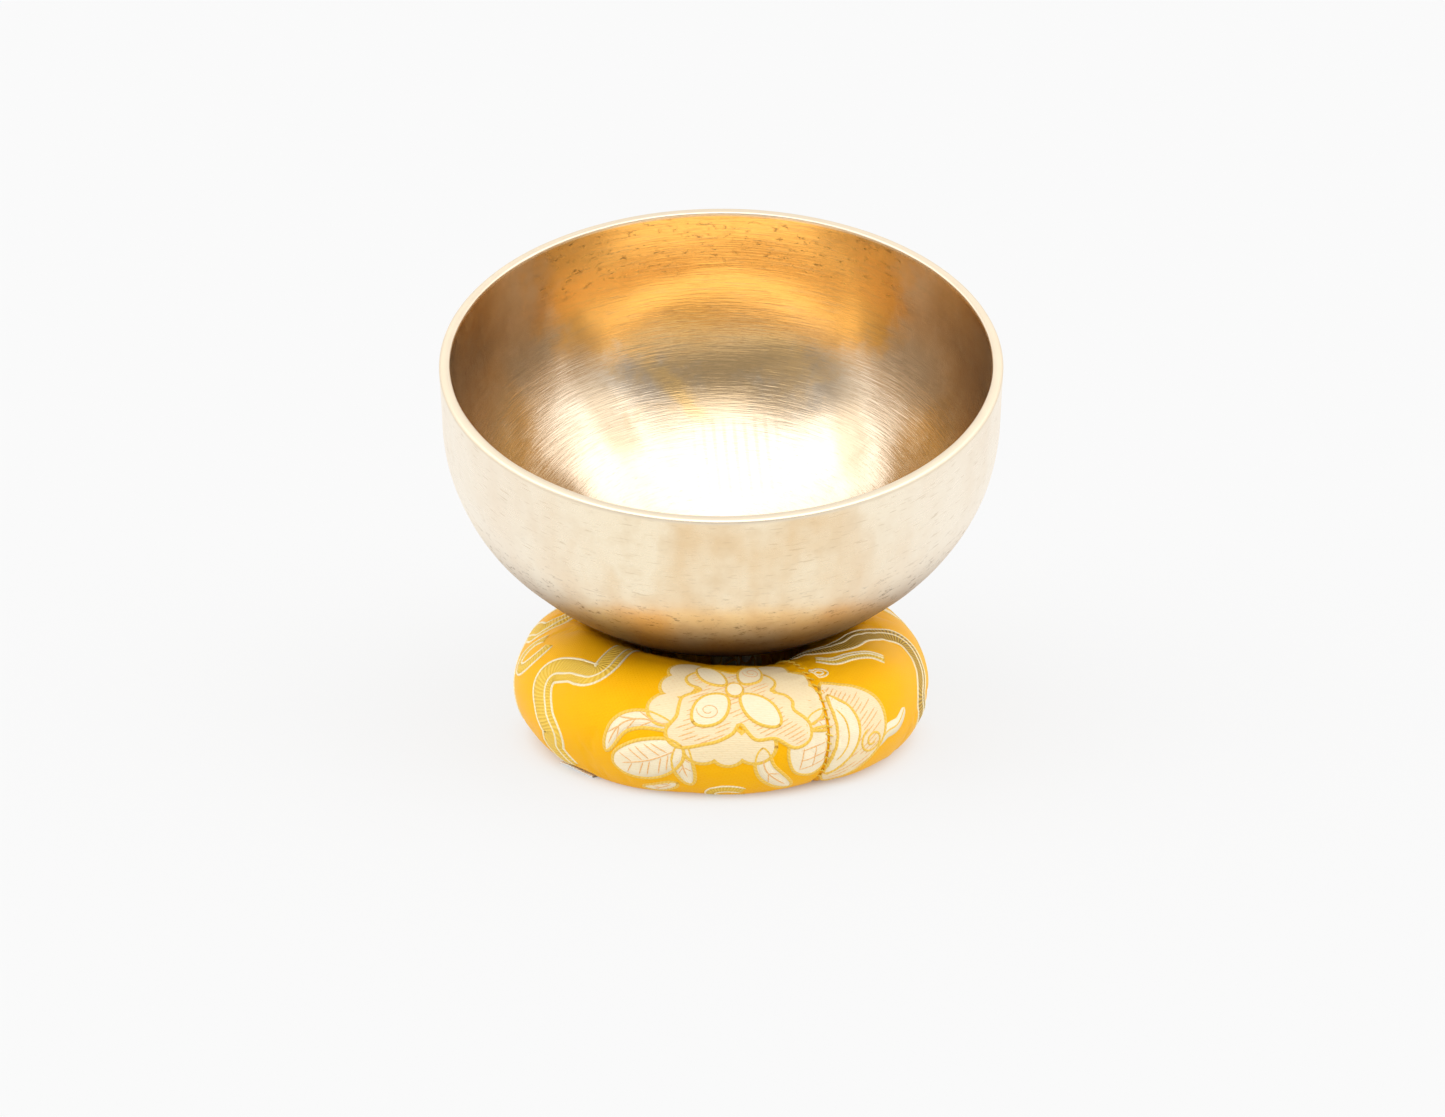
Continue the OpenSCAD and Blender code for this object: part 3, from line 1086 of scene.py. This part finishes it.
def wing(m, w):
    """A large curling leaf with a spiral, cut off at its root by the cross seam."""
    corners = [(-1, 0), (6, 0), (12, 5), (13.5, 11), (12, 17), (6, 23), (-1, 25)]
    shape = smooth_line(corners, closed=True)
    m.fill(w["ecru"], shape, 0.10, centre=(5, 12))
    hatch(m, w, shape, -35, 1.1, 0.16)
    m.cord(w["outline"], shape, 0.9, 0.22, closed=True)
    corners = [(0, 2), (4, 4.5), (6, 9), (5.5, 14), (3, 19), (-1, 23), (0.5, 12)]
    moon = smooth_line(corners, closed=True)
    m.fill(w["cream"], moon, 0.10 + LAYER, centre=(3, 12))
    m.cord(w["outline"], moon, 0.9, 0.20 + LAYER, closed=True)
    m.cord(w["outline"], smooth_line([(0.8, 5), (3, 9), (3, 14), (0.5, 19)]), 0.6, 0.18 + LAYER)
    a = np.linspace(0.4, 3.4 * pi, 50)
    r = 0.5 + 0.26 * a
    m.cord(w["outline"], np.stack([9.5 + r * np.cos(a), 15 + r * np.sin(a)], 1), 0.65, 0.24)
    tail = smooth_line([(11, 17.5), (14, 14.5), (18, 14), (21, 11)])
    m.strip(w["cream"], tail, *leaf_sides(tail, 1.9, 0.5), 0.10, cells=2)
    m.cord(w["outline"], tail, 0.55, 0.18)


def hook(m, w):
    """A small curled band."""
    a = np.radians(np.linspace(-60, 215, 30))
    line = np.stack([3.6 * np.cos(a), 5.6 * np.sin(a)], 1)
    m.strip(w["ribs"], line, -1.3, 1.3, 0.10, cells=2)
    for offset in (-1.4, 1.4):
        m.cord(w["line"], beside(line, offset), 0.6, 0.20)


def bud(m, w):
    """A small folded bud: a drop inside a drop."""
    for size in (1.0, 0.5):
        m.cord(w["line"], oval(0, 0, 2.6 * size, 1.5 * size, 0, 0.3), 0.5, 0.16, closed=True)


def weavings():
    """The layers of the pattern: each is a piece with a weave, thread or ribs of its own."""
    layers = (
        ("cream", "brocade_cream", woven, "cream_weave", (0.99, 0.89, 0.68), (0.92, 0.76, 0.48)),
        ("ecru", "brocade_ecru", woven, "ecru_weave", (0.97, 0.83, 0.57), (0.88, 0.68, 0.38)),
        ("outline", "brocade_outline", twisted, "gold_outline", (0.95, 0.62, 0.10), (0.80, 0.46, 0.03)),
        ("vein", "brocade_veins", twisted, "fine_veins", (0.93, 0.58, 0.25), (0.82, 0.42, 0.12)),
        ("line", "brocade_lines", twisted, "cream_line", (0.98, 0.88, 0.62), (0.88, 0.72, 0.38)),
        ("ribs", "brocade_ribs", ribbed, "gold_ribs", (0.97, 0.66, 0.10), (0.76, 0.44, 0.03)),
        ("dark", "brocade_dark_ribs", ribbed, "brown_ribs", (0.80, 0.50, 0.06), (0.18, 0.08, 0.01)),
    )
    made = {}
    for key, name, kind, material, light, dark in layers:
        made[key] = Weaving(name, kind(material, light, dark))
    return made


def weave_motifs(cloth):
    """Lays the whole pattern on the ring: the front as one repeat, and its repeats round the back."""
    w = weavings()
    cut = 0.35
    left = dict(high=SEAM_S - cut)
    right = dict(low=SEAM_S + cut)
    # The front, left of the cross seam
    front = Motif(2.7, 8.8, **left)
    leaf_spray(front, w)
    flower(front, w)
    cloud_band(w, [(-38, -5), (-35.5, 0), (-32.5, 6), (-34, 9.5), (-40, 10), (-46, 12.5), (-47, 17),
                   (-43.5, 23), (-40.5, 27), (-41, 31), (-38, 36)])
    hook(Motif(-60, 13, turn=20), w)
    hook(Motif(2, 37, turn=95, scale=0.8), w)
    # The front, right of the cross seam
    wing(Motif(24.5, 11, **right), w)
    bud(Motif(26.8, 5.4, turn=20, **right), w)
    cloud_band(w, [(30.5, 0.5), (34, 3.4), (40, 4.4), (45, 6.6), (47.5, 10)], 2.6)
    cloud_band(w, [(30, -9), (38, -3), (46, 0), (54, 1), (61, 5), (64, 11), (60, 18), (56, 23), (58, 30)],
               5.5, "dark")
    # The sides and the back
    for s, turn, flip in ((96, 8, 1), (-98, -6, -1)):
        group = Motif(s, 12, turn=turn, flip=flip)
        leaf_spray(group, w)
        flower(group, w)
    cloud_band(w, [(-72, 2), (-70, 10), (-76, 15), (-72, 22), (-66, 25), (-66, 32)], 6.0)
    cloud_band(w, [(128, 4), (134, 11), (129, 17), (136, 22), (142, 27), (140, 34)], 6.0)
    hook(Motif(76, 26, turn=70), w)
    hook(Motif(-120, 2, turn=-40), w)
    # The inner side of the ring
    for s, t, turn, flip in ((-8, -26, 160, 1), (60, -27, 190, -1), (-75, -25, 170, 1), (128, -26, 200, -1)):
        flower(Motif(s, t, turn=turn, scale=0.75, flip=flip), w)
    for weaving in w.values():
        weaving.make(cloth)


# ---------------------------------------------------------------- stitches, label and stuffing
def thread_tube(points, radius, sides=8):
    """A closed round tube along a line, in the frame, with domed ends."""
    p = np.asarray(points, float)
    ahead, run = directions(p), lengths(p)
    helper = np.array([0.3, 0.2, 0.93])
    a = np.cross(ahead, helper)
    a /= np.linalg.norm(a, axis=1)[:, None]
    b = np.cross(ahead, a)
    verts, values = [], []
    for k in range(len(p)):
        end = min(k, len(p) - 1 - k)
        r = radius * (0.45 if end == 0 else 0.85 if end == 1 else 1.0)
        for q in range(sides):
            angle = 2 * pi * q / sides
            verts.append(p[k] + r * (a[k] * cos(angle) + b[k] * sin(angle)))
            values.append((run[k], angle * radius, 0))
    faces = grid_faces(len(p), sides, close_columns=True, flip=True)
    faces += [tuple(range(sides)), tuple(len(verts) - sides + q for q in range(sides))[::-1]]
    return np.array(verts), faces, values


def stitches(name, runs, cloth, radius, material, replaced):
    """One piece of short threads, from their runs over the cloth."""
    verts, faces, values = [], [], []
    for run in runs:
        v, f, x = thread_tube(cloth.lay(np.asarray(run, float)), radius)
        faces += [tuple(len(verts) + k for k in face) for face in f]
        verts += list(v)
        values += x
    made = mesh_object(name, verts, faces, material)
    corner_values(made, "cloth", values)
    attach(made, "cushion")
    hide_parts(replaced)


def make_cross_stitches(cloth):
    """Whip stitches slanting over the join, from the inner side over the crest to the base."""
    low, high, count = -19.0, 35.5, 26
    runs = []
    for k in range(count):
        t = low + (high - low) * k / (count - 1)
        lean = (0.65 + 0.12 * sin(2.3 * k)) * 0.8
        half = 0.85 + 0.1 * cos(1.7 * k)
        way = np.linspace(-1, 1, 9)
        runs.append([(SEAM_S + u * half, t + u * lean, 0.42 * (1 - u**4) - 0.12) for u in way])
    material = twisted("seam_gold", (0.98, 0.72, 0.08), (0.72, 0.44, 0.03), 0.7)
    stitches("cross_stitches", runs, cloth, 0.2, material, "cross_seam")


def make_long_stitches(cloth):
    """Running stitches that close the tube lengthwise, under its inner side."""
    count, share = 62, 0.62
    step = 2 * pi * CLOTH_R / count
    t = -GIRTH / 2 + LONG_SEAM_T
    runs = []
    for k in range(count):
        way = np.linspace(0, 1, 8)
        runs.append([((k + u * share) * step, t, 0.16 - 0.5 * (2 * u - 1) ** 6) for u in way])
    material = twisted("seam_orange", (0.90, 0.50, 0.06), (0.62, 0.30, 0.03), 0.6)
    stitches("long_stitches", runs, cloth, 0.16, material, "long_seam")


def make_label():
    """A folded tape: two layers with a rounded fold at the end that shows."""
    middle, half = (LABEL_T + LABEL_LIFT) / 2, (LABEL_T - LABEL_LIFT) / 2
    layer = LABEL_FROM + np.linspace(0, 1, 30) * (LABEL_TO - LABEL_FROM - LABEL_T / 2)
    turns = np.radians(np.linspace(-60, 60, 6))
    rows = [(out, LABEL_LIFT) for out in layer]
    rows += [(LABEL_TO - LABEL_T / 2 + 0.25 * cos(a), middle + half * sin(a)) for a in turns]
    rows += [(out, LABEL_T) for out in layer[::-1]]
    points = []
    columns = 16
    for out, up in rows:
        for k in range(columns):
            across = (k / (columns - 1) - 0.5) * LABEL_W
            curl = 0.35 * max(0.0, (out - 39.5) / 4) ** 2 * (0.6 + 0.4 * cos(across * 0.5 + 1))
            points.append((out, across, up + curl))
    p = np.array(points)
    c, s = cos(LABEL_AT), sin(LABEL_AT)
    placed = np.stack([p[:, 0] * s + p[:, 1] * c, -p[:, 0] * c + p[:, 1] * s, p[:, 2]], 1)
    tape = woven("label_tape_weave", (0.92, 0.92, 0.90), (0.78, 0.78, 0.76), 0.3, rough=0.45, sheen=0.15)
    made = mesh_object("label_tape", placed, grid_faces(len(rows), columns), tape)
    corner_values(made, "cloth", p * (1, 1, 0))
    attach(made, "cushion")
    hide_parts("care_label")


def make_stuffing(cloth):
    """The filling just under the cover."""
    inner = cloth.points[::4, ::4] - cloth.normals[::4, ::4] * 1.2
    faces = grid_faces(*inner.shape[:2], True, True, flip=True)
    made = mesh_object("stuffing", inner.reshape(-1, 3), faces, cotton())
    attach(made, "cushion")
    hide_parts("cushion_filling")


# ---------------------------------------------------------------- the studio
def make_floor():
    """White paper that glows by itself away from the object, so that only soft shadows show; the glow fades
    out under and just around the cushion, a painted contact shadow there.
    """
    m = Nodes(bpy.data.materials.new("white_paper"))
    x, y, _ = m.split(m.place())
    # Painted shadow: no glow under and close round the cushion, so the floor there and inside the ring's
    # hole stays dark
    glow = m.ramp(m.distance(x, y), (0.038, 0.0), (0.048, 1.0))
    m.set(
        Base_Color=m.mix(glow, (0.75, 0.75, 0.75), (0.13, 0.13, 0.13)),
        Roughness=0.9,
        Specular_IOR_Level=0.0,
        Emission_Color=(1, 1, 1, 1),
        Emission_Strength=m.times(glow, FLOOR_GLOW),
    )
    half = 4000.0
    corners = [(-half, -half, 0), (half, -half, 0), (half, half, 0), (-half, half, 0)]
    mesh_object("floor", corners, [(0, 1, 2, 3)], m.owner, smooth=False)


def make_light():
    """A light tent: bright overhead and in front, softer behind, with the dark camera side low down."""
    world = bpy.data.worlds.new("light_tent")
    m = Nodes(world)
    way = m.add("ShaderNodeTexCoord").outputs["Generated"]
    x, y, z = m.split(m.vector("NORMALIZE", way))
    to_front = m.math("DIVIDE", m.times(y, -1.0), m.larger(m.distance(x, y), 0.01))
    near_floor = m.scaled(m.rise(z, 0.13, 0.03), FLOOR_EDGE - CAMERA_SIDE, CAMERA_SIDE)
    side = m.scaled(m.rise(to_front, -0.7, -0.1), LOW_LIGHT - BACK_LIGHT, BACK_LIGHT)
    low = m.mix(m.rise(to_front, 0.35, 0.85), side, near_floor)
    overhead = m.ramp(m.scaled(y, -0.5, 0.5), (0.25, BACK_LIGHT / TOP_LIGHT), (0.6, 1.0))
    high = m.vector("MULTIPLY", overhead, (TOP_LIGHT, TOP_LIGHT, TOP_LIGHT))
    # The bright part begins higher up on the camera's side
    height = m.scaled(m.rise(to_front, 0.3, 0.9), -0.13, z)
    share = m.ramp(height, (sin(radians(22)), 0.0), (sin(radians(40.5)), 1.0))
    m.put(m.tree.nodes["Background"].inputs["Color"], m.mix(share, low, high))
    bpy.context.scene.world = world


def make_camera():
    """A long lens, looking 17 degrees down on the object from the front."""
    elevation, distance = radians(17.24), 770.7
    target = Vector((0.3, 0, 42.5))
    back = Vector((0, -cos(elevation), sin(elevation)))
    data = bpy.data.cameras.new("camera")
    data.sensor_width, data.lens = 36.0, 82.2
    data.clip_start, data.clip_end = 0.05, 20
    camera = bpy.data.objects.new("camera", data)
    camera.location = (target + back * distance) * MM
    camera.rotation_mode = "QUATERNION"
    camera.rotation_quaternion = (-back).to_track_quat("-Z", "Y")
    bpy.context.scene.collection.objects.link(camera)
    bpy.context.scene.camera = camera


def main():
    bpy.context.scene.view_settings.view_transform = "Standard"
    make_camera()
    make_light()
    make_floor()
    make_bowl()
    surface = surface_grid()
    cloth = Cloth(pressed(surface + settle(surface)))
    orange, deep_orange = (1.0, 0.55, 0.004), (0.97, 0.43, 0.001)
    satin = woven("orange_satin", orange, deep_orange, 0.3, rough=0.42, sheen=0.02, gloss=0.14)
    make_cover(cloth.points, satin)
    weave_motifs(cloth)
    make_cross_stitches(cloth)
    make_long_stitches(cloth)
    make_label()
    make_stuffing(cloth)


main()
